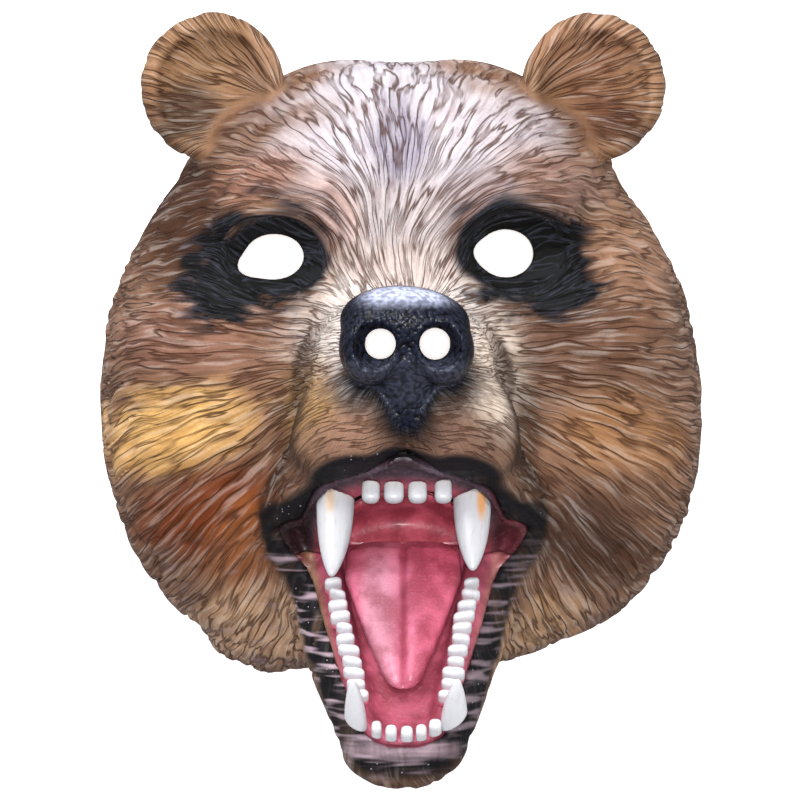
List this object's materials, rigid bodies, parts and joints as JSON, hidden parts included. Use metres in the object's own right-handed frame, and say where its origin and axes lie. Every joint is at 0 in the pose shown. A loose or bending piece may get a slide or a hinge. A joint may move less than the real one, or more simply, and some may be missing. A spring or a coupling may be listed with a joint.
{
  "type": "bear mask",
  "caption": "Hollow moulded rubber mask of a roaring bear, open at the back, with eye holes, pierced nostrils, gums, tongue and teeth set in the open mouth.",
  "frame": {"origin": "centre of the mask's bounding box, on the plane that the rim of its open back rests on", "axes": "+Z out of the face, away from the wearer; +Y towards the crown; +X to the right of someone looking at the face"},
  "size_m": [0.19, 0.2381, 0.1266],
  "materials": {
    "skin": "moulded latex with fur relief, airbrushed brown, cream and black, dry-brushed",
    "gum": "painted latex, wet gloss",
    "tongue": "painted latex, wet gloss",
    "tooth": "glossy white with ochre staining at the roots"
  },
  "bodies": {
    "root": {"face_skin": "skin", "palate": "gum", "jaw_lining": "gum", "tongue": "tongue", "upper_fang_left": "tooth", "upper_fang_right": "tooth", "lower_fang_left": "tooth", "lower_fang_right": "tooth", "upper_incisor_1": "tooth", "upper_incisor_2": "tooth", "upper_incisor_3": "tooth", "upper_incisor_4": "tooth", "lower_incisor_1": "tooth", "lower_incisor_2": "tooth", "lower_incisor_3": "tooth", "lower_incisor_4": "tooth", "lower_incisor_5": "tooth", "cheek_teeth_left": "tooth", "cheek_teeth_right": "tooth"}
  },
  "joints": []
}
